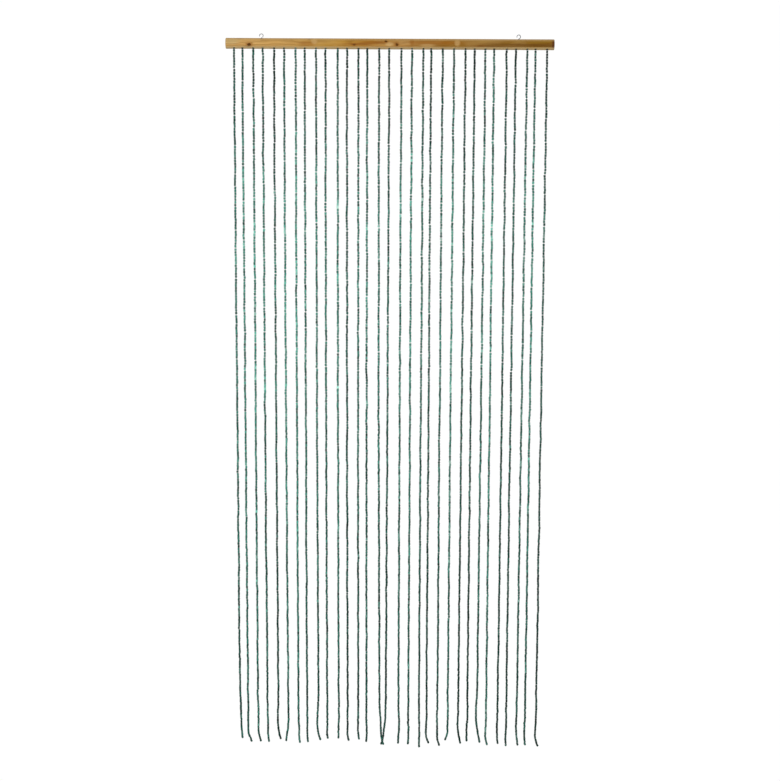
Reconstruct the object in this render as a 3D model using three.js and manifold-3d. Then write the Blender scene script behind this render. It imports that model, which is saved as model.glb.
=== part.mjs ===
// A bamboo door curtain: thirty-one strands of small bamboo beads on stiff line, hanging from a
// half-round pine bar that has two open screw hooks in its top. Millimetres, +Z up, +Y towards
// the wall. The origin is the middle of the bar's flat back face, level with its middle height.
import * as THREE from "three";
import { mergeVertices } from "three/addons/utils/BufferGeometryUtils.js";
import Module from "manifold-3d";

const clearance = 0.3;

// A moulding, flat behind. crown: the radius that rounds its front towards the top and bottom.
// backEdge: the chamfers of its back, before the edges of the two ends are rounded by endRound.
const bar = { length: 900, height: 29, depth: 16, crown: 14, backEdge: 0.4, endRound: 1.5 };
const flatsToCrown = 4;
const barTop = bar.height / 2;
const barUnder = -bar.height / 2;
const barMiddleY = -bar.depth / 2;

// thread: how far the shank reaches down from the bar's top. neck: the straight wire above that
// height. ring: the ring's diameter, to the middle of its wire, with its centre a rise above the
// bar. The ring's wire starts and ends at these angles, in degrees from its right side.
const hook = { inset: 98, wire: 2, thread: 12, neck: 0.4, ring: 10, rise: 6, start: -45, end: 195 };
const hookSides = 6;
const hookSteps = 20;
const hookX = bar.length / 2 - hook.inset;

// Small beads sit every 7.75 mm on their line, with little between them, so a strand's solid is
// one long rod.
// bead: their diameter. seat: how far the topmost bead goes up into its hole in the bar.
const strand = { bead: 5.6, seat: 6 };
const strandSides = 4;

// Some beads of the upper half hang wider apart, with the line showing between them.
// first: from the bar to the highest such notch. pitch: from one to the next on average.
// shift: how far one may stand above or below its even place.
const notch = { count: 11, first: 80, pitch: 78, shift: 27, width: 2.4, radius: 0.9 };

// A strand leans more and more down to this height above its end. Below it the strand curls,
// and its solid has a section at every step. Above it has so many sections.
const curl = { height: 140, step: 10, sectionsAbove: 8 };

// One row for each strand, from left to right. x: where it hangs, from the bar's middle.
// drop: from the bar's top to the strand's end. lean, bow, bend, turn, kick: how far it stands
// to the right of a plumb line at 140, 70, 40, 20 and 0 mm above its end. depth: how far its
// lowest 40 mm stand back, where two strands cross.
const hang = [
  { x: -427, drop: 1989, lean: 2.5, bow: 5, bend: 5.5, turn: 6.5, kick: 9.5 },
  { x: -404, drop: 2000, lean: 2.5, bow: 2.5, bend: 3.5, turn: 5, kick: 13.5 },
  { x: -374.5, drop: 1999, lean: 1.5, bow: 3, bend: 2.5, turn: 4, kick: 8.5 },
  { x: -348.5, drop: 2000, lean: 3, bow: 3.5, bend: 4, turn: 3.5, kick: 6.5 },
  { x: -317.5, drop: 1992, lean: 3.5, bow: 1.5, bend: 2, turn: 4.5, kick: 10 },
  { x: -290, drop: 1998, lean: 4.5, bow: 5, bend: 3.5, turn: 0.5, kick: -2.5 },
  { x: -258.5, drop: 2003, lean: 2.5, bow: 2.5, bend: 4, turn: 4, kick: 6.5 },
  { x: -233.5, drop: 2001, lean: 2.5, bow: 3, bend: 3, turn: 3, kick: 5 },
  { x: -202.5, drop: 1994, lean: 4.5, bow: 1, bend: 0.5, turn: 3.5, kick: 10 },
  { x: -176.5, drop: 1990, lean: 3.5, bow: 3.5, bend: 4, turn: 3.5, kick: 4.5 },
  { x: -143, drop: 1989, lean: 3, bow: 3.5, bend: 3, turn: 3.5, kick: 2.5 },
  { x: -117.5, drop: 1996, lean: 3.5, bow: 3.5, bend: 4.5, turn: 3.5, kick: 7.5 },
  { x: -86, drop: 1992, lean: 2.5, bow: 2.5, bend: 2.5, turn: 2.5, kick: 5 },
  { x: -62, drop: 1999, lean: 2.5, bow: 2.5, bend: 3.5, turn: 3.5, kick: 2.5 },
  { x: -29.5, drop: 2006, lean: 7.5, bow: 11, bend: 12.5, turn: 14.5, kick: 19.5, depth: -3.2 },
  { x: -2, drop: 2008, lean: -2, bow: -4, bend: -7.5, turn: -9.5, kick: -15, depth: 3.2 },
  { x: 31.5, drop: 2004, lean: 1.5, bow: 3, bend: 3, turn: 2, kick: 1 },
  { x: 60.5, drop: 2006, lean: 1, bow: 1, bend: 2.5, turn: 2.5, kick: 0.5 },
  { x: 91.5, drop: 2015, lean: 0.5, bow: 2, bend: 2.5, turn: 1.5, kick: 2 },
  { x: 113, drop: 2003, lean: 1, bow: 1.5, bend: 0.5, turn: 1, kick: 8 },
  { x: 144.5, drop: 2010, lean: 1, bow: 0, bend: 1, turn: 1.5, kick: 7.5 },
  { x: 175.5, drop: 1993, lean: -0.5, bow: 0.5, bend: -0.5, turn: 0, kick: -7 },
  { x: 207, drop: 2003, lean: -1.5, bow: -2.5, bend: -1, turn: 1.5, kick: 5 },
  { x: 232, drop: 1996, lean: 0, bow: 0, bend: -1.5, turn: -2, kick: -1.5 },
  { x: 261.5, drop: 2000, lean: -1.5, bow: -4, bend: -1, turn: 3, kick: 8 },
  { x: 285.5, drop: 2007, lean: 1, bow: 0.5, bend: 0, turn: 0.5, kick: 5 },
  { x: 320, drop: 2003, lean: -0.5, bow: -0.5, bend: -1.5, turn: -1, kick: 0 },
  { x: 345, drop: 2010, lean: -0.5, bow: 0, bend: -1.5, turn: -1, kick: 0 },
  { x: 376, drop: 2008, lean: -1, bow: -2.5, bend: -1.5, turn: 1, kick: 3 },
  { x: 398.5, drop: 2007, lean: 0.5, bow: 0.5, bend: -0.5, turn: 0, kick: 3 },
  { x: 430.5, drop: 2010, lean: 0.5, bow: 0.5, bend: -1.5, turn: -0.5, kick: 7 },
];

const pine = new THREE.MeshStandardMaterial({ color: 0xc08c4b, roughness: 0.55, metalness: 0 });
const bamboo = new THREE.MeshStandardMaterial({ color: 0x3a564c, roughness: 0.45, metalness: 0 });
const zinc = new THREE.MeshStandardMaterial({ color: 0xb9bcc0, roughness: 0.35, metalness: 1 });

const wasm = await Module();
wasm.setup();

function solidOf(geometry) {
  const bare = geometry.clone();
  bare.deleteAttribute("normal");
  bare.deleteAttribute("uv");
  const merged = mergeVertices(bare, 1e-4);
  const vertProperties = Float32Array.from(merged.attributes.position.array);
  const triVerts = Uint32Array.from(merged.index.array);
  return new wasm.Manifold(new wasm.Mesh({ numProp: 3, vertProperties, triVerts }));
}

function geometryOf(solid) {
  const mesh = solid.getMesh();
  const geometry = new THREE.BufferGeometry();
  geometry.setAttribute("position", new THREE.BufferAttribute(mesh.vertProperties, mesh.numProp));
  geometry.setIndex(new THREE.BufferAttribute(mesh.triVerts, 1));
  return geometry;
}

// A straight pin on the Z axis, between two heights, with one corner of its section on +X.
function pin(radius, sides, low, high) {
  const geometry = new THREE.CylinderGeometry(radius, radius, high - low, sides);
  return geometry.rotateX(Math.PI / 2).rotateZ(Math.PI / 2).translate(0, 0, (low + high) / 2);
}

// Distance from a many-sided pin's axis to its corner, once its flats stand a clearance further out.
function boreRadius(radius, sides) {
  return radius + clearance / Math.cos(Math.PI / sides);
}

// Smaller all round by what the extrusion's bevel adds.
function barOutline() {
  const back = -bar.endRound;
  const top = bar.height / 2 - bar.endRound;
  const crownY = bar.crown - bar.depth;
  const crownZ = bar.height / 2 - bar.crown;
  const radius = bar.crown - bar.endRound;
  const quarter = Math.PI / 2;
  const shape = new THREE.Shape();
  shape.moveTo(back - bar.backEdge, -top);
  shape.lineTo(back, bar.backEdge - top);
  shape.lineTo(back, top - bar.backEdge);
  shape.lineTo(back - bar.backEdge, top);
  shape.absarc(crownY, crownZ, radius, quarter, 2 * quarter);
  shape.absarc(crownY, -crownZ, radius, 2 * quarter, 3 * quarter);
  return shape;
}

function barMesh() {
  const lath = new THREE.ExtrudeGeometry(barOutline(), {
    depth: bar.length - 2 * bar.endRound,
    curveSegments: flatsToCrown / 2,
    bevelThickness: bar.endRound,
    bevelSize: bar.endRound,
    bevelSegments: 1,
  });
  lath.translate(0, 0, bar.endRound - bar.length / 2);
  lath.rotateX(Math.PI / 2).rotateZ(Math.PI / 2);

  let solid = solidOf(lath);
  const strandBore = boreRadius(strand.bead / 2, strandSides);
  for (const row of hang) {
    const hole = pin(strandBore, strandSides, barUnder - 1, barUnder + strand.seat + clearance);
    solid = solid.subtract(solidOf(hole.translate(row.x, barMiddleY, 0)));
  }
  const hookBore = boreRadius(hook.wire / 2, hookSides);
  for (const side of [-1, 1]) {
    const hole = pin(hookBore, hookSides, barTop - hook.thread - clearance, barTop + 1);
    solid = solid.subtract(solidOf(hole.translate(side * hookX, barMiddleY, 0)));
  }
  const mesh = new THREE.Mesh(geometryOf(solid), pine);
  mesh.name = "bar";
  return mesh;
}

// The shank rises out of the wood, bends to the right and goes round to the open mouth at its
// lower left.
function hookRoute() {
  const points = [];
  for (const height of [-hook.thread, -hook.thread / 2, 0, hook.neck]) {
    points.push(new THREE.Vector3(0, 0, height));
  }
  const radius = hook.ring / 2;
  const arcs = 8;
  for (let arc = 0; arc <= arcs; arc++) {
    const angle = THREE.MathUtils.degToRad(hook.start + (hook.end - hook.start) * arc / arcs);
    const x = radius * Math.cos(angle);
    const z = hook.rise + radius * Math.sin(angle);
    points.push(new THREE.Vector3(x, 0, z));
  }
  return new THREE.CatmullRomCurve3(points, false, "centripetal");
}

function hookMesh(name, side) {
  const section = new THREE.Shape().absarc(0, 0, hook.wire / 2, 0, 2 * Math.PI);
  const geometry = new THREE.ExtrudeGeometry(section, {
    steps: hookSteps,
    curveSegments: hookSides / 2,
    bevelEnabled: false,
    extrudePath: hookRoute(),
  });
  const mesh = new THREE.Mesh(geometry, zinc);
  mesh.name = name;
  mesh.position.set(side * hookX, barMiddleY, barTop);
  return mesh;
}

// The strand's outline from its lower end up: the curled end, and the long upper rod with its
// notches, which ends in the bar.
function strandProfile(end, number) {
  const rod = strand.bead / 2;
  const top = barUnder + strand.seat;
  const curlTop = end + curl.height;
  const rings = [];
  for (let z = end; z < curlTop; z += curl.step) {
    rings.push({ radius: rod, z });
  }
  for (let section = 0; section <= curl.sectionsAbove; section++) {
    const share = section / curl.sectionsAbove;
    rings.push({ radius: rod, z: THREE.MathUtils.lerp(curlTop, top, share) });
  }
  for (let index = 0; index < notch.count; index++) {
    const uneven = Math.sin(2.4 * index * index + 1.7 * number);
    const z = barUnder - notch.first - index * notch.pitch + uneven * notch.shift;
    rings.push({ radius: rod, z: z - notch.width / 2 });
    rings.push({ radius: notch.radius, z });
    rings.push({ radius: rod, z: z + notch.width / 2 });
  }
  rings.sort((one, other) => one.z - other.z);
  const points = rings.map((ring) => new THREE.Vector2(ring.radius, ring.z));
  points.unshift(new THREE.Vector2(0, end));
  points.push(new THREE.Vector2(0, top));
  return points;
}

// How far the strand stands to the right of its plumb line, at a height above its end. Above the
// curl it is a share of the lean that grows with the square of the way down from the bar.
function leanAt(height, length, lean) {
  const share = THREE.MathUtils.clamp((length - height) / (length - curl.height), 0, 1);
  return lean * share * share;
}

function curlOf(row, length) {
  const above = 1.5 * curl.height;
  const heights = [0, 20, 40, 70, curl.height, above];
  const right = [row.kick, row.turn, row.bend, row.bow, row.lean, leanAt(above, length, row.lean)];
  return new THREE.CubicInterpolant(heights, right, 1);
}

function strandMesh(row, number) {
  const end = barTop - row.drop;
  const length = barUnder + strand.seat - end;
  const geometry = new THREE.LatheGeometry(strandProfile(end, number), strandSides);
  geometry.rotateX(Math.PI / 2);
  const curled = curlOf(row, length);
  const depth = row.depth ?? 0;
  const position = geometry.attributes.position;
  for (let index = 0; index < position.count; index++) {
    const height = position.getZ(index) - end;
    const inCurl = height < curl.height;
    const right = inCurl ? curled.evaluate(height)[0] : leanAt(height, length, row.lean);
    const back = depth * THREE.MathUtils.clamp((curl.height - height) / (curl.height - 40), 0, 1);
    position.setX(index, position.getX(index) + right);
    position.setY(index, position.getY(index) + back);
  }
  const mesh = new THREE.Mesh(geometry, bamboo);
  mesh.name = "strand_" + String(number).padStart(2, "0");
  mesh.position.set(row.x, barMiddleY, 0);
  return mesh;
}

const curtain = new THREE.Group();
curtain.add(barMesh());
curtain.add(hookMesh("hook_left", -1));
curtain.add(hookMesh("hook_right", 1));
hang.forEach((row, index) => {
  curtain.add(strandMesh(row, index + 1));
});

export default curtain;
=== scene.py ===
# Looks of the bamboo bead door curtain: bead strands on nylon line, pine bar and screw hooks.
import bisect
import math
import random

import bmesh
import bpy
from mathutils import Matrix, Vector, noise


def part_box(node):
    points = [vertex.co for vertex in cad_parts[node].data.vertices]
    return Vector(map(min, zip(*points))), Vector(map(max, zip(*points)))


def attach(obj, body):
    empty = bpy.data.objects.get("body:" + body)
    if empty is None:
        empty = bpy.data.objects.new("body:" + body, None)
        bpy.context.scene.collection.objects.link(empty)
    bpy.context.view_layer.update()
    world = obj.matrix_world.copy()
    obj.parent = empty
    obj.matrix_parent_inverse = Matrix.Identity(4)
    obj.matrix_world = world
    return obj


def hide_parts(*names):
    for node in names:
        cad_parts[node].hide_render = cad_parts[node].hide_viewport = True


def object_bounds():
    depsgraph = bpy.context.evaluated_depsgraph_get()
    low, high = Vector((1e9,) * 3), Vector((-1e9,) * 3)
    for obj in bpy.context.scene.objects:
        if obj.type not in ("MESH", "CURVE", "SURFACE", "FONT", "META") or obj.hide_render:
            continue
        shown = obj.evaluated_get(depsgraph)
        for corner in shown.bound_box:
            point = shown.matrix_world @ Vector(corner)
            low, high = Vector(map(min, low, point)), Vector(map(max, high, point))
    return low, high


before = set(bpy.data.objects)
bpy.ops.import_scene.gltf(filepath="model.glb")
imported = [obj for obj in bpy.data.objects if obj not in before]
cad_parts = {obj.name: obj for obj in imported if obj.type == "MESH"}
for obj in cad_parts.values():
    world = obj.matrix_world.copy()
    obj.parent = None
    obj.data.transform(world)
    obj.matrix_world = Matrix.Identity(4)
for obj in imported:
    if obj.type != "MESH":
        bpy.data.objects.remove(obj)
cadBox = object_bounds()
mm = 0.001
hair = 0.01 * mm  # places nearer than this are the same place
white = (1, 1, 1, 1)
black = (0, 0, 0, 1)
noise.seed_set(1)  # its vectors would start from the clock otherwise


# Camera, light and floor

viewpoint = {"at": (4.4 * mm, -4395 * mm, -380.7 * mm), "down": 7.48, "roll": 0.263,
             "lens": 72.43, "sensor": 36, "farthest": 200}
studio = {"backdrop": 1.01, "roomLight": 0.42, "floorGlow": 1.01, "floorGrey": (0.8, 0.8, 0.8, 1),
          "floorRoughness": 0.9, "floorBelow": 60 * mm, "floorSize": 60}
lamps = [
    {"name": "keyLamp", "at": (-0.5, -5.4, -0.85), "to": (0, 0, -0.7),
     "wide": 2.4, "high": 1.0, "power": 104},
    {"name": "topLamp", "at": (-1.6, -3.6, 2.2), "to": (0, 0, -0.3),
     "wide": 1.8, "high": 1.2, "power": 34},
]


def addCamera():
    camera = bpy.data.objects.new("camera", bpy.data.cameras.new("camera"))
    camera.data.lens = viewpoint["lens"]
    camera.data.sensor_width = viewpoint["sensor"]
    camera.data.clip_end = viewpoint["farthest"]
    tilt = Matrix.Rotation(math.radians(90 - viewpoint["down"]), 4, "X")
    roll = Matrix.Rotation(math.radians(viewpoint["roll"]), 4, "Z")  # the bar's right end sits lower
    camera.matrix_world = Matrix.Translation(viewpoint["at"]) @ tilt @ roll
    bpy.context.scene.collection.objects.link(camera)
    bpy.context.scene.camera = camera


def addLamps():
    for lamp in lamps:
        data = bpy.data.lights.new(lamp["name"], "AREA")
        data.shape = "RECTANGLE"
        data.size = lamp["wide"]
        data.size_y = lamp["high"]
        data.energy = lamp["power"]
        made = bpy.data.objects.new(lamp["name"], data)
        aim = Vector(lamp["to"]) - Vector(lamp["at"])
        turn = aim.to_track_quat("-Z", "Y").to_matrix().to_4x4()
        made.matrix_world = Matrix.Translation(lamp["at"]) @ turn
        bpy.context.scene.collection.objects.link(made)


def addSky():
    world = bpy.data.worlds.new("studioSky")
    world.use_nodes = True
    tree = world.node_tree
    seen = addNode(tree, "ShaderNodeLightPath").outputs["Is Camera Ray"]
    strength = spread(tree, seen, (studio["roomLight"], studio["backdrop"]))
    plug(tree, tree.nodes["Background"].inputs["Strength"], strength)
    tree.nodes["Background"].inputs["Color"].default_value = white
    bpy.context.scene.world = world
    bpy.context.scene.view_settings.view_transform = "Standard"


def addFloor():
    bm = bmesh.new()
    bmesh.ops.create_grid(bm, x_segments=1, y_segments=1, size=studio["floorSize"] / 2)
    bmesh.ops.translate(bm, verts=bm.verts, vec=(0, 0, cadBox[0].z - studio["floorBelow"]))
    finishMesh(bm, "studioFloor", [floorPaint()])


# Small helpers

def finishMesh(bm, name, materials):
    mesh = bpy.data.meshes.new(name)
    bm.to_mesh(mesh)
    bm.free()
    for material in materials:
        mesh.materials.append(material)
    made = bpy.data.objects.new(name, mesh)
    bpy.context.scene.collection.objects.link(made)
    return made


def roundOff(bm, edges, offset, steps):
    bmesh.ops.bevel(bm, geom=edges, offset=offset, offset_type="OFFSET", segments=steps, profile=0.5,
                    affect="EDGES", material=-1)


def plug(tree, socket, value):
    if isinstance(value, bpy.types.NodeSocket):
        tree.links.new(value, socket)
    else:
        socket.default_value = value


def addNode(tree, kind, inputs=None, **settings):
    node = tree.nodes.new(kind)
    for name, value in settings.items():
        setattr(node, name, value)
    for socket, value in (inputs or {}).items():
        plug(tree, node.inputs[socket], value)
    return node


def newMaterial(name):
    material = bpy.data.materials.new(name)
    material.use_nodes = True
    tree = material.node_tree
    return material, tree, tree.nodes["Principled BSDF"].inputs


def newGroup(name, inputs, outputs):
    tree = bpy.data.node_groups.new(name, "ShaderNodeTree")
    for socket, (kind, value) in inputs.items():
        made = tree.interface.new_socket(socket, in_out="INPUT", socket_type="NodeSocket" + kind)
        made.default_value = value
    for socket in outputs:
        tree.interface.new_socket(socket, in_out="OUTPUT", socket_type="NodeSocketFloat")
    return tree, tree.nodes.new("NodeGroupInput").outputs, tree.nodes.new("NodeGroupOutput").inputs


def placeGroup(tree, group, **inputs):
    node = tree.nodes.new("ShaderNodeGroup")
    node.node_tree = group
    for socket, value in inputs.items():
        plug(tree, node.inputs[socket], value)
    return node.outputs


def maths(tree, operation, first, second=0.0, third=0.0):
    inputs = {0: first, 1: second, 2: third}
    return addNode(tree, "ShaderNodeMath", inputs, operation=operation).outputs[0]


def times(tree, first, second):
    return maths(tree, "MULTIPLY", first, second)


def vectorMaths(tree, operation, first, second=(0, 0, 0)):
    return addNode(tree, "ShaderNodeVectorMath", {0: first, 1: second}, operation=operation).outputs


def fade(tree, value, low, high, outLow=0.0, outHigh=1.0):
    inputs = {"Value": value, "From Min": low, "From Max": high, "To Min": outLow, "To Max": outHigh}
    node = addNode(tree, "ShaderNodeMapRange", inputs, interpolation_type="SMOOTHSTEP")
    return node.outputs["Result"]


def fadeOut(tree, value, low, high):
    return fade(tree, value, low, high, 1.0, 0.0)


def spread(tree, mask, ends):
    # A mask of 0 to 1 made to run from one end to the other.
    return fade(tree, mask, 0.0, 1.0, *ends)


def swing(tree, mask, width):
    # A mask of 0 to 1 made to swing as far below nothing as above it.
    return maths(tree, "MULTIPLY_ADD", mask, width, -width / 2)


def blend(tree, share, first, second, how="MIX"):
    node = addNode(tree, "ShaderNodeMix", data_type="RGBA", blend_type=how)
    plug(tree, node.inputs[0], share)
    plug(tree, node.inputs[6], first)
    plug(tree, node.inputs[7], second)
    return node.outputs[2]


def ramp(tree, share, stops):
    node = addNode(tree, "ShaderNodeValToRGB", {"Fac": share})
    bar = node.color_ramp
    while len(bar.elements) < len(stops):
        bar.elements.new(0.5)
    for element, (place, colour) in zip(bar.elements, stops):
        element.position = place
        element.color = (*colour, 1)
    return node.outputs["Color"]


def noiseAt(tree, place, scale, detail=2.0, roughness=0.5):
    inputs = {"Vector": place, "Scale": scale, "Detail": detail, "Roughness": roughness}
    return addNode(tree, "ShaderNodeTexNoise", inputs).outputs["Fac"]


def objectPlace(tree):
    return addNode(tree, "ShaderNodeTexCoord").outputs["Object"]


def ownValue(tree, name):
    return addNode(tree, "ShaderNodeAttribute", attribute_name=name).outputs["Fac"]


def addRelief(tree, shader, height, deep):
    bump = addNode(tree, "ShaderNodeBump", {"Strength": 0.5, "Distance": deep, "Height": height})
    plug(tree, shader["Normal"], bump.outputs[0])


# Effects that several materials share. Each pair is where its mask sets in and where it is full.

fibreMask = {"detail": 4.0, "roughness": 0.6, "streak": (0.3, 0.7), "poresPerStreak": 4.7,
             "pore": (0.52, 0.7)}
cloudMask = {"detail": 3.0, "cloud": (0.32, 0.68), "specksPerCloud": 9.0, "speckRoughness": 0.7,
             "speck": (0.6, 0.72)}
knotMask = {"edgeNoise": 260.0, "edgeSwing": 0.9, "core": (0.7, 1.15), "halo": (0.9, 2.6)}


def makeFibres():
    inputs = {"Place": ("Vector", (0, 0, 0)), "Stretch": ("Vector", (1, 1, 1))}
    tree, given, out = newGroup("woodFibres", inputs, ["Streak", "Pore"])
    drawn = vectorMaths(tree, "MULTIPLY", given["Place"], given["Stretch"])[0]
    streak = noiseAt(tree, drawn, 1.0, fibreMask["detail"], fibreMask["roughness"])
    pore = noiseAt(tree, drawn, fibreMask["poresPerStreak"])
    plug(tree, out["Streak"], fade(tree, streak, *fibreMask["streak"]))
    plug(tree, out["Pore"], fade(tree, pore, *fibreMask["pore"]))
    return tree


def makeClouds():
    inputs = {"Place": ("Vector", (0, 0, 0)), "PerMetre": ("Float", 20.0)}
    tree, given, out = newGroup("stainClouds", inputs, ["Cloud", "Speck"])
    finer = times(tree, given["PerMetre"], cloudMask["specksPerCloud"])
    cloud = noiseAt(tree, given["Place"], given["PerMetre"], cloudMask["detail"])
    speck = noiseAt(tree, given["Place"], finer, roughness=cloudMask["speckRoughness"])
    plug(tree, out["Cloud"], fade(tree, cloud, *cloudMask["cloud"]))
    plug(tree, out["Speck"], fade(tree, speck, *cloudMask["speck"]))
    return tree


def makeKnot():
    # Centre and Size are on the bar's face. The knot goes through the bar from front to back.
    inputs = {"Place": ("Vector", (0, 0, 0)), "Centre": ("Vector", (0, 0, 0)),
              "Size": ("Vector", (1, 1, 1))}
    tree, given, out = newGroup("knotInPine", inputs, ["Core", "Halo", "Swell"])
    away = vectorMaths(tree, "SUBTRACT", given["Place"], given["Centre"])[0]
    flat = vectorMaths(tree, "MULTIPLY", away, (1, 0, 1))[0]
    sized = vectorMaths(tree, "DIVIDE", flat, given["Size"])[0]
    rough = swing(tree, noiseAt(tree, given["Place"], knotMask["edgeNoise"]), knotMask["edgeSwing"])
    far = maths(tree, "ADD", vectorMaths(tree, "LENGTH", sized)["Value"], rough)
    plug(tree, out["Core"], fadeOut(tree, far, *knotMask["core"]))
    plug(tree, out["Halo"], fadeOut(tree, far, *knotMask["halo"]))
    swell = maths(tree, "DIVIDE", 1.0, maths(tree, "ADD", times(tree, far, far), 1.0))
    plug(tree, out["Swell"], swell)
    return tree


# Materials. fibres is how many streaks a metre has along each axis, clouds how many blotches.

beadStain = {
    "tones": [(0.0, (0.024, 0.148, 0.108)), (0.4, (0.038, 0.144, 0.110)),
              (0.75, (0.064, 0.138, 0.113)), (1.0, (0.100, 0.130, 0.116))],
    "worn": (0.19, 0.25, 0.21, 1), "wornShare": 0.35, "pit": (0.005, 0.020, 0.015, 1),
    "pitShare": 0.55, "fibres": (900.0, 900.0, 60.0), "streakShade": (0.7, 1.3), "clouds": 210.0,
    "roughness": (0.42, 0.6), "gloss": 0.12, "relief": 0.15 * mm,
}
sawnEnd = {"pale": (0.17, 0.16, 0.09, 1), "stained": (0.055, 0.085, 0.062, 1),
           "pore": (0.03, 0.03, 0.02, 1), "fibres": (2600.0, 2600.0, 90.0), "clouds": 90.0,
           "roughness": (0.65, 0.85)}
milkyNylon = {"clean": (0.62, 0.66, 0.63, 1), "dusty": (0.45, 0.50, 0.47, 1), "clouds": 150.0,
              "roughness": (0.2, 0.4)}
zincPlate = {"bright": (0.36, 0.36, 0.39, 1), "dull": (0.24, 0.24, 0.26, 1),
             "spot": (0.18, 0.17, 0.16, 1), "spotShare": 0.4, "clouds": 300.0,
             "roughness": (0.22, 0.42)}


def floorPaint():
    # Even white to the camera, grey to the light that it throws back, and clear from below.
    material, tree, shader = newMaterial("studioFloor")
    seen = addNode(tree, "ShaderNodeLightPath").outputs["Is Camera Ray"]
    plug(tree, shader["Base Color"], blend(tree, seen, studio["floorGrey"], black))
    shader["Roughness"].default_value = studio["floorRoughness"]
    shader["Specular IOR Level"].default_value = 0.0
    shader["Emission Color"].default_value = white
    plug(tree, shader["Emission Strength"], times(tree, seen, studio["floorGlow"]))
    paint = tree.nodes["Principled BSDF"].outputs[0]
    clear = addNode(tree, "ShaderNodeBsdfTransparent").outputs[0]
    under = addNode(tree, "ShaderNodeNewGeometry").outputs["Backfacing"]
    mixed = addNode(tree, "ShaderNodeMixShader", {0: under, 1: paint, 2: clear})
    tree.links.new(mixed.outputs[0], tree.nodes["Material Output"].inputs["Surface"])
    return material


def beadMaterial(fibres, clouds):
    material, tree, shader = newMaterial("greenBamboo")
    own = vectorMaths(tree, "ADD", objectPlace(tree), ownValue(tree, "shift"))[0]  # grain differs by bead
    grain = placeGroup(tree, fibres, Place=own, Stretch=beadStain["fibres"])
    stain = placeGroup(tree, clouds, Place=own, PerMetre=beadStain["clouds"])
    streaks = spread(tree, grain["Streak"], beadStain["streakShade"])
    shade = times(tree, ownValue(tree, "shade"), streaks)
    tone = ramp(tree, ownValue(tree, "tone"), beadStain["tones"])
    shaded = addNode(tree, "ShaderNodeVectorMath", {0: tone, "Scale": shade}, operation="SCALE")
    pits = times(tree, grain["Pore"], beadStain["pitShare"])
    pitted = blend(tree, pits, shaded.outputs[0], beadStain["pit"])
    worn = times(tree, stain["Speck"], beadStain["wornShare"])
    plug(tree, shader["Base Color"], blend(tree, worn, pitted, beadStain["worn"]))
    plug(tree, shader["Roughness"], spread(tree, stain["Cloud"], beadStain["roughness"]))
    shader["Specular IOR Level"].default_value = beadStain["gloss"]
    addRelief(tree, shader, grain["Streak"], beadStain["relief"])
    return material


def cutMaterial(fibres, clouds):
    material, tree, shader = newMaterial("sawnBambooEnd")
    place = objectPlace(tree)
    dots = placeGroup(tree, fibres, Place=place, Stretch=sawnEnd["fibres"])
    stain = placeGroup(tree, clouds, Place=place, PerMetre=sawnEnd["clouds"])
    colour = blend(tree, stain["Cloud"], sawnEnd["pale"], sawnEnd["stained"])
    plug(tree, shader["Base Color"], blend(tree, dots["Pore"], colour, sawnEnd["pore"]))
    plug(tree, shader["Roughness"], spread(tree, dots["Streak"], sawnEnd["roughness"]))
    return material


def lineMaterial(clouds):
    material, tree, shader = newMaterial("milkyNylonLine")
    dust = placeGroup(tree, clouds, Place=objectPlace(tree), PerMetre=milkyNylon["clouds"])
    colour = blend(tree, dust["Cloud"], milkyNylon["clean"], milkyNylon["dusty"])
    plug(tree, shader["Base Color"], colour)
    plug(tree, shader["Roughness"], spread(tree, dust["Speck"], milkyNylon["roughness"]))
    return material


def zincMaterial(clouds):
    material, tree, shader = newMaterial("zincWire")
    dull = placeGroup(tree, clouds, Place=objectPlace(tree), PerMetre=zincPlate["clouds"])
    colour = blend(tree, dull["Cloud"], zincPlate["bright"], zincPlate["dull"])
    spots = times(tree, dull["Speck"], zincPlate["spotShare"])
    plug(tree, shader["Base Color"], blend(tree, spots, colour, zincPlate["spot"]))
    shader["Metallic"].default_value = 1.0
    plug(tree, shader["Roughness"], spread(tree, dull["Cloud"], zincPlate["roughness"]))
    return material


# x and z of each mark on the bar's face, its half length and half height, in mm, and how dark
# its core is. swell is how far, in mm, it pushes the growth lines round it.
pineKnots = [
    {"at": (-385, -4), "size": (5.5, 4.5), "core": 1.0, "swell": 5},
    {"at": (-387, -11.5), "size": (6.5, 4.0), "core": 0.75, "swell": 0},
    {"at": (-411, 13.5), "size": (7.5, 2.0), "core": 0.7, "swell": 1},
    {"at": (-352, 13.6), "size": (3.2, 1.8), "core": 0.8, "swell": 0},
    {"at": (-220, 12), "size": (4.5, 2.4), "core": 0.65, "swell": 3},
    {"at": (-98, -3), "size": (4.5, 2.6), "core": 0.8, "swell": 3},
    {"at": (-11, 6.5), "size": (3.6, 3.2), "core": 1.0, "swell": 5},
    {"at": (19, -2.5), "size": (4.2, 4.0), "core": 0.9, "swell": 7},
    {"at": (15, -12), "size": (5.0, 2.6), "core": 0.8, "swell": 0},
    {"at": (247, -5), "size": (8.0, 2.0), "core": 0.45, "swell": 2},
    {"at": (352, 13.8), "size": (2.4, 1.2), "core": 0.6, "swell": 0},
]
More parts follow.
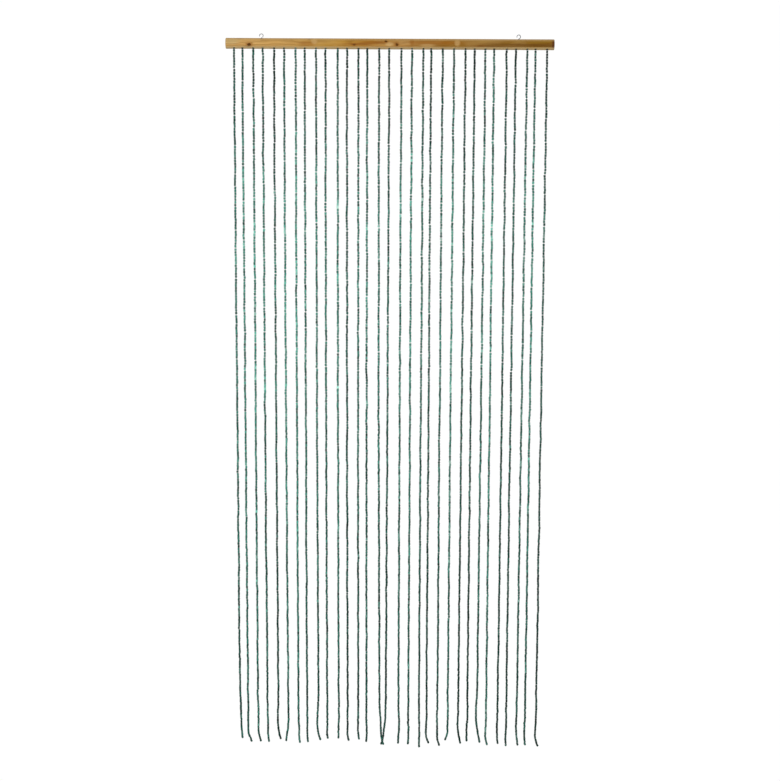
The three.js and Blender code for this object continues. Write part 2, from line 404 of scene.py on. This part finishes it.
# Softer patches of another tone, placed in the same way.
pineClouds = [
    {"at": (-437, 7), "size": (14, 6), "tone": "ashen", "share": 0.5},
    {"at": (-226, -1), "size": (13, 4), "tone": "warm", "share": 0.5},
    {"at": (-207, 6), "size": (4.5, 4.5), "tone": "pale", "share": 0.7},
    {"at": (-50, 3), "size": (20, 2.2), "tone": "warm", "share": 0.6},
    {"at": (-85, -1.5), "size": (22, 2), "tone": "warm", "share": 0.5},
    {"at": (-2, -1), "size": (6, 2.8), "tone": "pale", "share": 0.9},
    {"at": (42, 3), "size": (12, 4), "tone": "pale", "share": 0.3},
    {"at": (60, 5), "size": (3.5, 5), "tone": "warm", "share": 0.6},
    {"at": (128, 3.5), "size": (42, 3.2), "tone": "warm", "share": 0.6},
    {"at": (102, -4), "size": (11, 2), "tone": "pale", "share": 0.5},
    {"at": (184, 3), "size": (4, 5), "tone": "pale", "share": 0.6},
]
pine = {
    "alongBar": [(0.0, (0.70, 0.41, 0.13)), (0.22, (0.57, 0.315, 0.055)),
                 (0.44, (0.47, 0.215, 0.027)), (0.56, (0.46, 0.215, 0.04)),
                 (0.7, (0.34, 0.155, 0.014)), (1.0, (0.34, 0.175, 0.018))],
    "late": (0.27, 0.105, 0.008, 1), "knot": (0.105, 0.036, 0.002, 1),
    "ringedKnot": (0.30, 0.095, 0.008, 1), "pale": (0.68, 0.44, 0.17, 1),
    # pale also serves as the painted light on the top edge, and rim is the painted floor light on the
    # underside
    "warm": (0.36, 0.125, 0.010, 1), "ashen": (0.62, 0.50, 0.24, 1), "rim": (0.60, 0.44, 0.22, 1),
    "heart": (0.15, 0.055, 0.001, 1), "fibre": (0.42, 0.24, 0.09, 1),
    "darkRightEnd": (0.10, 0.028, 0.012, 1),
    "lateShare": 0.4, "paleShare": (0.0, 0.25), "fibreShare": (0.0, 0.3), "ringedShare": 0.6,
    "heartShare": 0.75, "darkEndShare": 0.8,
    "fibres": (9.0, 420.0, 420.0), "clouds": 34.0, "cloudStretch": (0.35, 1, 1),
    "roughness": (0.42, 0.58), "gloss": 0.06, "relief": 0.15 * mm, "streakRelief": 0.6,
    "lateRelief": 0.4,
}
growth = {"pith": (0, 34 * mm, -20 * mm), "ringWidth": 3.4 * mm, "drift": 22 * mm,
          "driftWaves": (5.0, 14.0, 14.0), "lateSetsIn": (0.35, 0.9), "lateEnds": (0.93, 1.0)}
# Where things on the bar set in and are full: two places, and two shares where not 0 and 1.
pineReach = {"stripeLeft": (0.18, 0.30), "stripeFoot": (-9.5 * mm, -5.5 * mm),
             "stripeHead": (-2.5 * mm, 7 * mm, 1.0, 0.1), "stripeStreaks": (0.6, 1.0),
             # above and below place the painted light on the top edge and on the underside
             "above": (6 * mm, 12 * mm, 0.0, 0.6), "below": (-11 * mm, -6 * mm, 0.8, 0.0),
             "darkEndFrom": (8 * mm, 5.5 * mm)}


def placeMark(tree, knot, place, mark):
    x, z = mark["at"]
    long, high = mark["size"]
    size = (long * mm, 1, high * mm)
    return placeGroup(tree, knot, Place=place, Centre=(x * mm, 0, z * mm), Size=size)


def lateWood(tree, place, swell):
    # Growth rings round a pith behind and below the bar: lines on its long faces, arcs on its ends.
    wavy = vectorMaths(tree, "MULTIPLY", place, growth["driftWaves"])[0]
    drift = swing(tree, noiseAt(tree, wavy, 1.0), growth["drift"])
    fromPith = vectorMaths(tree, "SUBTRACT", place, growth["pith"])[0]
    across = vectorMaths(tree, "MULTIPLY", fromPith, (0, 1, 1))[0]
    reach = maths(tree, "ADD", vectorMaths(tree, "LENGTH", across)["Value"], drift)
    reach = maths(tree, "ADD", reach, swell)
    ring = maths(tree, "FRACT", maths(tree, "DIVIDE", reach, growth["ringWidth"]))
    setsIn = fade(tree, ring, *growth["lateSetsIn"])
    return times(tree, setsIn, fadeOut(tree, ring, *growth["lateEnds"]))


def heartStripe(tree, axes, streak):
    # The dark stripe along the right third of the bar.
    left = fade(tree, axes["X"], *pineReach["stripeLeft"])
    stripe = times(tree, left, fade(tree, axes["Z"], *pineReach["stripeFoot"]))
    stripe = times(tree, stripe, fade(tree, axes["Z"], *pineReach["stripeHead"]))
    stripe = times(tree, stripe, spread(tree, streak, pineReach["stripeStreaks"]))
    return times(tree, stripe, pine["heartShare"])


def pineMaterial(fibres, clouds, knot):
    material, tree, shader = newMaterial("varnishedPine")
    place = objectPlace(tree)
    axes = addNode(tree, "ShaderNodeSeparateXYZ", {0: place}).outputs
    low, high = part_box("bar")

    core = ringed = swell = 0.0
    for mark in pineKnots:
        made = placeMark(tree, knot, place, mark)
        core = maths(tree, "MAXIMUM", core, times(tree, made["Core"], mark["core"]))
        ringed = maths(tree, "MAXIMUM", ringed, times(tree, made["Halo"], mark["core"]))
        swell = maths(tree, "MULTIPLY_ADD", made["Swell"], mark["swell"] * mm, swell)
    late = lateWood(tree, place, swell)
    grain = placeGroup(tree, fibres, Place=place, Stretch=pine["fibres"])
    drawn = vectorMaths(tree, "MULTIPLY", place, pine["cloudStretch"])[0]
    stain = placeGroup(tree, clouds, Place=drawn, PerMetre=pine["clouds"])

    colour = ramp(tree, fade(tree, axes["X"], low.x, high.x), pine["alongBar"])
    colour = blend(tree, times(tree, late, pine["lateShare"]), colour, pine["late"])
    colour = blend(tree, spread(tree, stain["Cloud"], pine["paleShare"]), colour, pine["pale"])
    for patch in pineClouds:
        made = placeMark(tree, knot, place, patch)
        colour = blend(tree, times(tree, made["Halo"], patch["share"]), colour, pine[patch["tone"]])
    colour = blend(tree, heartStripe(tree, axes, grain["Streak"]), colour, pine["heart"])
    streaks = spread(tree, grain["Streak"], pine["fibreShare"])
    colour = blend(tree, streaks, colour, pine["fibre"], "MULTIPLY")
    colour = blend(tree, times(tree, ringed, pine["ringedShare"]), colour, pine["ringedKnot"])
    colour = blend(tree, core, colour, pine["knot"])
    # darker and redder over the last few mm of the right end
    nearRightEnd = fade(tree, axes["X"], *(high.x - inward for inward in pineReach["darkEndFrom"]))
    colour = blend(tree, times(tree, nearRightEnd, pine["darkEndShare"]), colour, pine["darkRightEnd"])

    # painted light: paler where the front turns to the top, lit from above, and a pale greyish rim where
    # it turns to the underside, lit from the floor
    colour = blend(tree, fade(tree, axes["Z"], *pineReach["above"]), colour, pine["pale"])
    colour = blend(tree, fade(tree, axes["Z"], *pineReach["below"]), colour, pine["rim"])
    plug(tree, shader["Base Color"], colour)
    plug(tree, shader["Roughness"], spread(tree, stain["Cloud"], pine["roughness"]))
    shader["Specular IOR Level"].default_value = pine["gloss"]
    streakHeight = times(tree, grain["Streak"], pine["streakRelief"])
    height = maths(tree, "ADD", streakHeight, times(tree, late, pine["lateRelief"]))
    addRelief(tree, shader, height, pine["relief"])
    return material


# Pine bar. Each hole is as wide and as deep as its two numbers say.

barShape = {"crown": 14 * mm, "crownSteps": 10, "backEdge": 1.3 * mm, "endEdge": 1.5 * mm,
            "edgeSteps": 3, "beadHole": (6.3 * mm, 6.3 * mm), "hookHole": (2.6 * mm, 12.3 * mm),
            "holeSides": 20, "sections": 60, "planing": 0.12 * mm, "planingWaves": 22,
            "otherWaves": (9, 0, 0), "sharpFrom": 40}


def middleOf(node):
    low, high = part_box(node)
    return (low + high) / 2


def drillBar(bar, spots):
    bm = bmesh.new()
    for place, (width, deep) in spots:
        bmesh.ops.create_cone(bm, cap_ends=True, segments=barShape["holeSides"], radius1=width / 2,
                              radius2=width / 2, depth=2 * deep, matrix=Matrix.Translation(place))
    drills = finishMesh(bm, "drills", [])
    cut = bar.modifiers.new("drilled", "BOOLEAN")
    cut.operation = "DIFFERENCE"
    cut.solver = "EXACT"
    cut.object = drills
    made = bpy.data.meshes.new_from_object(bar.evaluated_get(bpy.context.evaluated_depsgraph_get()))
    bar.modifiers.clear()
    bar.data = made
    bpy.data.objects.remove(drills)


def edgesAlong(bm, y):
    found = []
    for edge in bm.edges:
        first, last = (vert.co for vert in edge.verts)
        if abs(first.x - last.x) > 1 * mm and abs(first.y - y) < hair:
            found.append(edge)
    return found


def makeBar(material, strandTops):
    low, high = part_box("bar")
    bm = bmesh.new()
    whole = Matrix.Translation(middleOf("bar")) @ Matrix.Diagonal((*(high - low), 1))
    bmesh.ops.create_cube(bm, size=1, matrix=whole)
    roundOff(bm, edgesAlong(bm, low.y), barShape["crown"], barShape["crownSteps"])
    roundOff(bm, edgesAlong(bm, high.y), barShape["backEdge"], barShape["edgeSteps"])
    for end in (low.x, high.x):
        rim = [edge for edge in bm.edges if all(abs(vert.co.x - end) < hair for vert in edge.verts)]
        roundOff(bm, rim, barShape["endEdge"], barShape["edgeSteps"])
    step = (high.x - low.x) / barShape["sections"]
    for section in range(1, barShape["sections"]):
        everything = bm.verts[:] + bm.edges[:] + bm.faces[:]
        cut = (low.x + section * step, 0, 0)
        bmesh.ops.bisect_plane(bm, geom=everything, plane_co=cut, plane_no=(1, 0, 0))
    for vert in bm.verts:  # slight waves left by the planer
        vert.co.z += barShape["planing"] * noise.noise(vert.co * barShape["planingWaves"])
        elsewhere = vert.co * barShape["planingWaves"] + Vector(barShape["otherWaves"])
        vert.co.y += barShape["planing"] * noise.noise(elsewhere)
    bar = finishMesh(bm, "pineBar", [material])

    hooks = [middleOf(node) for node in ("hook_left", "hook_right")]
    spots = [((top.x, top.y, low.z), barShape["beadHole"]) for top in strandTops]
    spots += [((hook.x, hook.y, high.z), barShape["hookHole"]) for hook in hooks]
    drillBar(bar, spots)
    for face in bar.data.polygons:
        face.use_smooth = True
    bar.data.set_sharp_from_angle(angle=math.radians(barShape["sharpFrom"]))
    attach(bar, "root")
    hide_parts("bar")
    print("bar:", len(bar.data.polygons), "faces")


# Screw hooks, bent from round wire. Each step of the tip has its share of it and how it narrows.

hookWire = {"wide": 2 * mm, "sides": 14, "ring": 10 * mm, "bendBelow": 6.7 * mm,
            "lowBend": 1.6 * mm, "turnOut": 60, "bendSteps": 5, "straight": 1.96 * mm,
            "ringTurn": 255, "ringSteps": 30, "tip": 0.5 * mm, "tipSteps": ((0.6, 0.85), (0.4, 0.6)),
            "merge": 0.001 * mm}


def spinOn(bm, rim, centre, degrees, steps):
    made = bmesh.ops.spin(bm, geom=rim, cent=centre, axis=(0, 1, 0), angle=math.radians(degrees),
                          steps=steps, use_merge=False, use_duplicate=False)
    return [part for part in made["geom_last"] if isinstance(part, bmesh.types.BMEdge)]


def runOn(bm, rim, step, scale=1.0):
    made = bmesh.ops.extrude_edge_only(bm, edges=rim)["geom"]
    verts = [part for part in made if isinstance(part, bmesh.types.BMVert)]
    bmesh.ops.translate(bm, verts=verts, vec=step)
    middle = sum((vert.co for vert in verts), Vector()) / len(verts)
    bmesh.ops.scale(bm, verts=verts, vec=(scale,) * 3, space=Matrix.Translation(-middle))
    edges = [part for part in made if isinstance(part, bmesh.types.BMEdge)]
    return [edge for edge in edges if all(vert in verts for vert in edge.verts)]


def leaning(degrees):
    # The direction that leans to the right from straight up by so many degrees.
    lean = math.radians(degrees)
    return Vector((math.sin(lean), 0, math.cos(lean)))


def makeHook(node, name, material):
    low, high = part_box(node)
    middle = middleOf(node)
    ringHeight = high.z - hookWire["ring"] / 2 - hookWire["wide"] / 2
    centre = Vector((middle.x, middle.y, ringHeight))
    bm = bmesh.new()
    foot = Matrix.Translation((centre.x, centre.y, low.z))
    bmesh.ops.create_circle(bm, cap_ends=False, segments=hookWire["sides"],
                            radius=hookWire["wide"] / 2, matrix=foot)
    footRim = bm.edges[:]
    bendFrom = centre.z - hookWire["bendBelow"]
    rim = runOn(bm, footRim, (0, 0, bendFrom - low.z))
    bendCentre = (centre.x + hookWire["lowBend"], centre.y, bendFrom)
    rim = spinOn(bm, rim, bendCentre, hookWire["turnOut"], hookWire["bendSteps"])
    rim = runOn(bm, rim, leaning(hookWire["turnOut"]) * hookWire["straight"])
    rim = spinOn(bm, rim, centre, -hookWire["ringTurn"], hookWire["ringSteps"])
    onward = leaning(hookWire["turnOut"] - hookWire["ringTurn"])
    for share, narrower in hookWire["tipSteps"]:
        rim = runOn(bm, rim, onward * hookWire["tip"] * share, narrower)
    bmesh.ops.contextual_create(bm, geom=footRim)
    bmesh.ops.contextual_create(bm, geom=rim)
    bmesh.ops.remove_doubles(bm, verts=bm.verts, dist=hookWire["merge"])
    bmesh.ops.recalc_face_normals(bm, faces=bm.faces)
    for face in bm.faces:
        face.smooth = True
    hook = finishMesh(bm, name, [material])
    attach(hook, "root")
    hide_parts(node)


# Bead strands. Pairs are the least and the most that a random draw gives.

bead = {"wide": 5.6 * mm, "long": 6.5 * mm, "sides": 8, "edge": 0.35 * mm, "kinds": 8,
        "kindSeed": 7, "slant": 0.06, "oval": 0.04, "thinner": 0.035, "thick": (0.94, 1.06),
        "thickInBar": 0.93, "turn": (0, 6.28), "grainShift": (0, 10)}
boredBead = {"rim": 0.45, "lip": 0.05 * mm, "deep": 1.5 * mm}
strand = {"seed": 100, "pitch": 7.75 * mm, "gap": (0.2 * mm, 1.6 * mm), "usualGap": 0.6 * mm,
          "wideGap": (1.0 * mm, 1.8 * mm), "wideShare": 0.12, "notchGap": (1.1 * mm, 1.9 * mm),
          "wander": 1.25 * mm, "quickShare": 0.5, "deepShare": 0.4, "calm": 24 * mm,
          "jitter": 0.26 * mm, "tilt": 0.07}
# The length of each wave along a strand, and two numbers that keep strands and waves apart.
waves = {"slow": (45 * mm, 7.3, 0.5), "quick": (16 * mm, 3.1, 8.5),
         "shade": (50 * mm, 2.9, 6), "tone": (100 * mm, 5.7, 3)}
# How the stain varies, and the painted shade near the bar and towards the strands' lower ends. Tone is 0
# for green and 1 for grey, and a higher shade is brighter.
stainAndPaintedShade = {"rightwards": 0.25, "strandTone": (-0.1, 0.15), "brightness": (1.25, 1.5),
            "dark": 0.62, "pale": 1.4, "beadShade": 0.38, "toneByWave": 0.45, "toneByShade": 0.38,
            "topPaintedShade": 1.1, "topReach": 400 * mm, "endPaintedShade": 0.75, "endReach": 1100 * mm}
darkStrands = (5, 12, 16, 20, 23, 24, 27, 28, 31)
paleStrands = (2, 3, 6, 7, 11, 18, 22, 26, 30)
nylon = {"wide": 0.8 * mm, "sides": 5, "knot": 1.1 * mm, "knotFlat": 0.8, "tail": 2.5 * mm,
         "inBar": 6.2 * mm}


def makeBeadKind(pick, hollow=False):
    bm = bmesh.new()
    radius = bead["wide"] / 2 / math.cos(math.pi / bead["sides"])
    upper = radius * (1 - bead["thinner"] * pick.random())
    bmesh.ops.create_cone(bm, cap_ends=True, segments=bead["sides"], radius1=radius, radius2=upper,
                          depth=bead["long"])
    rims = [edge for edge in bm.edges if abs(edge.verts[0].co.z - edge.verts[1].co.z) < hair]
    roundOff(bm, rims, bead["edge"], 1)
    ends = [face for face in bm.faces if len(face.verts) == bead["sides"]]
    for face in bm.faces:
        face.smooth = face not in ends
    for end in ends:
        end.material_index = 1
        for edge in end.edges:
            edge.smooth = False
    if hollow:
        rim = radius * boredBead["rim"]
        bmesh.ops.inset_individual(bm, faces=ends, thickness=rim, depth=0)
        bmesh.ops.inset_individual(bm, faces=ends, thickness=boredBead["lip"],
                                   depth=-boredBead["deep"])
    oval = 1 + bead["oval"] * pick.uniform(-1, 1)
    topSlant = (pick.uniform(-1, 1), pick.uniform(-1, 1))
    footSlant = (pick.uniform(-1, 1), pick.uniform(-1, 1))
    for vert in bm.verts:
        slantX, slantY = topSlant if vert.co.z > 0 else footSlant
        vert.co.z += bead["slant"] * (slantX * vert.co.x + slantY * vert.co.y)
        vert.co.x *= oval
        vert.co.y /= oval
    mesh = bpy.data.meshes.new("beadKind")
    bm.to_mesh(mesh)
    bm.free()
    return mesh


def readStrand(name):
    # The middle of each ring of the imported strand, from its end up, and the heights of its notches.
    rings = {}
    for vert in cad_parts[name].data.vertices:
        rings.setdefault(round(vert.co.z, 5), []).append(vert.co)
    line = []
    notches = []
    for height in sorted(rings):
        left = min(co.x for co in rings[height])
        right = max(co.x for co in rings[height])
        front = min(co.y for co in rings[height])
        back = max(co.y for co in rings[height])
        line.append(Vector(((left + right) / 2, (front + back) / 2, height)))
        if right - left < bead["wide"] / 2:
            notches.append(height)
    return line, notches


def measure(line):
    # The way from the strand's end up to each point of its middle line.
    ways = [0.0]
    for low, high in zip(line, line[1:]):
        ways.append(ways[-1] + (high - low).length)
    return ways


def pointOn(line, ways, way):
    place = min(max(bisect.bisect_right(ways, way) - 1, 0), len(line) - 2)
    share = (way - ways[place]) / (ways[place + 1] - ways[place])
    return line[place].lerp(line[place + 1], share)


def wavePlace(wave, way, number):
    length, strandStep, layer = waves[wave]
    return Vector((way / length, number * strandStep, layer))


def wanderAt(way, number, top):
    # How far the beads hang off the middle line: more to the side than in depth, and not at the top.
    slow = noise.noise_vector(wavePlace("slow", way, number))
    quick = noise.noise_vector(wavePlace("quick", way, number))
    free = min(1, (top - way) / strand["calm"])
    sway = strand["wander"] * (slow + quick * strand["quickShare"]) * free
    return Vector((sway.x, sway.y * strand["deepShare"], 0))


def beadSpans(line, ways, notches, pick):
    # Where each bead begins and ends, from the strand's end up.
    stops = [(0.0, 0.0)]
    for height in notches:
        place = next(index for index, point in enumerate(line) if abs(point.z - height) < hair)
        stops.append((ways[place], pick.uniform(*strand["notchGap"])))
    stops.append((ways[-1], 0.0))
    spans = []
    for (low, lowGap), (high, highGap) in zip(stops, stops[1:]):
        start = low + lowGap / 2
        room = high - highGap / 2 - start
        count = max(1, round(room / strand["pitch"]))
        step = room / count
        for index in range(count):
            wide = pick.random() < strand["wideShare"]
            usual = pick.triangular(*strand["gap"], strand["usualGap"])
            gap = pick.uniform(*strand["wideGap"]) if wide else usual
            spans.append((start + index * step + gap / 2, start + (index + 1) * step - gap / 2))
    return spans


def nudge(pick):
    return Vector((pick.gauss(0, 1), pick.gauss(0, 1), 0))


def beadPlace(foot, head, loose, pick):
    middle = (foot + head) / 2 + nudge(pick) * strand["jitter"] * loose
    axis = (head - foot).normalized()
    axis += nudge(pick) * strand["tilt"] * loose
    spin = Matrix.Rotation(pick.uniform(*bead["turn"]), 4, "Z")
    turn = axis.to_track_quat("Z", "Y").to_matrix().to_4x4() @ spin
    thick = pick.uniform(*bead["thick"]) if loose else bead["thickInBar"]
    size = Matrix.Diagonal((thick, thick, (head - foot).length / bead["long"], 1))
    flip = Matrix.Rotation(math.pi * pick.choice((0, 1)), 4, "X")
    return Matrix.Translation(middle) @ turn @ size @ flip


def strandStain(number, pick):
    bias = stainAndPaintedShade["rightwards"] * number / strandCount + pick.uniform(*stainAndPaintedShade["strandTone"])
    brightness = pick.uniform(*stainAndPaintedShade["brightness"])
    if number in darkStrands:
        brightness *= stainAndPaintedShade["dark"]
    if number in paleStrands:
        brightness *= stainAndPaintedShade["pale"]
    return bias, brightness


def beadTintAndShade(way, top, number, bias, pick):
    shade = noise.noise(wavePlace("shade", way, number)) + pick.gauss(0, stainAndPaintedShade["beadShade"])
    tone = bias + stainAndPaintedShade["toneByWave"] * noise.noise(wavePlace("tone", way, number))
    tone += stainAndPaintedShade["toneByShade"] * shade
    # painted shade: beads darken near the bar and towards the strand's lower end, where the light falls
    # off
    nearTop = max(0.0, 1 - (top - way) / stainAndPaintedShade["topReach"])
    nearEnd = max(0.0, 1 - way / stainAndPaintedShade["endReach"])
    shade -= stainAndPaintedShade["topPaintedShade"] * nearTop + stainAndPaintedShade["endPaintedShade"] * nearEnd
    return min(max(tone, 0.0), 1.0), shade


def makeBeads(number, kinds, endKind, materials):
    # Draws random numbers in a fixed order: a change of the order changes every bead.
    name = "%02d" % number
    pick = random.Random(strand["seed"] + number)
    line, notches = readStrand("strand_" + name)
    ways = measure(line)
    spans = beadSpans(line, ways, notches, pick)
    bm = bmesh.new()
    layers = {layer: bm.verts.layers.float.new(layer) for layer in ("tone", "shade", "shift")}
    bias, brightness = strandStain(number, pick)
    joints = []
    for index, (low, high) in enumerate(spans):
        foot = pointOn(line, ways, low) + wanderAt(low, number, ways[-1])
        head = pointOn(line, ways, high) + wanderAt(high, number, ways[-1])
        joints.append(foot)
        loose = 0.0 if index == len(spans) - 1 else 1.0  # the topmost bead sits in the bar
        where = beadPlace(foot, head, loose, pick)
        first = len(bm.verts)
        bm.from_mesh(endKind if index in (0, len(spans) - 1) else pick.choice(kinds))
        bm.verts.ensure_lookup_table()
        fresh = bm.verts[first:]
        bmesh.ops.transform(bm, matrix=where, verts=fresh)
        tone, shade = beadTintAndShade(low, ways[-1], number, bias, pick)
        shift = pick.uniform(*bead["grainShift"])
        for vert in fresh:
            vert[layers["tone"]] = tone if loose else 1.0
            vert[layers["shade"]] = brightness * math.exp(shade)
            vert[layers["shift"]] = shift
    joints.append(pointOn(line, ways, spans[-1][1]))
    beads = finishMesh(bm, "beads_" + name, materials)
    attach(beads, "root")
    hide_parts("strand_" + name)
    return joints


def makeLine(number, joints, material):
    # The line runs through every second joint, from a knot under the lowest bead into the bar.
    name = "%02d" % number
    top = joints[-1]
    route = [joints[0] - Vector((0, 0, nylon["tail"]))] + joints[:-1:2] + [top]
    route.append(Vector((top.x, top.y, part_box("bar")[0].z + nylon["inBar"])))
    bm = bmesh.new()
    bmesh.ops.create_circle(bm, cap_ends=True, segments=nylon["sides"], radius=nylon["wide"] / 2,
                            matrix=Matrix.Translation(route[0]))
    rim = bm.edges[:]
    for low, high in zip(route, route[1:]):
        rim = runOn(bm, rim, high - low)
    bmesh.ops.contextual_create(bm, geom=rim)
    bmesh.ops.recalc_face_normals(bm, faces=bm.faces)
    flat = nylon["knotFlat"]
    knot = Matrix.Translation(joints[0] - Vector((0, 0, nylon["knot"] * flat)))
    knot = knot @ Matrix.Diagonal((1, 1, flat, 1))
    bmesh.ops.create_icosphere(bm, subdivisions=2, radius=nylon["knot"], matrix=knot)
    for face in bm.faces:
        face.smooth = True
    line = finishMesh(bm, "line_" + name, [material])
    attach(line, "root")


# The whole curtain

addCamera()
addLamps()
addSky()
addFloor()
print("stage ready")

woodFibres = makeFibres()
stainClouds = makeClouds()
knotInPine = makeKnot()
greenBamboo = [beadMaterial(woodFibres, stainClouds), cutMaterial(woodFibres, stainClouds)]
milkyLine = lineMaterial(stainClouds)
zincWire = zincMaterial(stainClouds)
print("materials ready")

beadPick = random.Random(bead["kindSeed"])
beadKinds = [makeBeadKind(beadPick) for kind in range(bead["kinds"])]
endBead = makeBeadKind(beadPick, hollow=True)
strandCount = sum(node.startswith("strand_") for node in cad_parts)
strandTops = []
for strandNumber in range(1, strandCount + 1):
    beadJoints = makeBeads(strandNumber, beadKinds, endBead, greenBamboo)
    makeLine(strandNumber, beadJoints, milkyLine)
    strandTops.append(beadJoints[-1])
print("strands ready:", strandCount)

varnishedPine = pineMaterial(woodFibres, stainClouds, knotInPine)
makeBar(varnishedPine, strandTops)
makeHook("hook_left", "hookWire_left", zincWire)
makeHook("hook_right", "hookWire_right", zincWire)
print("bar and hooks ready")
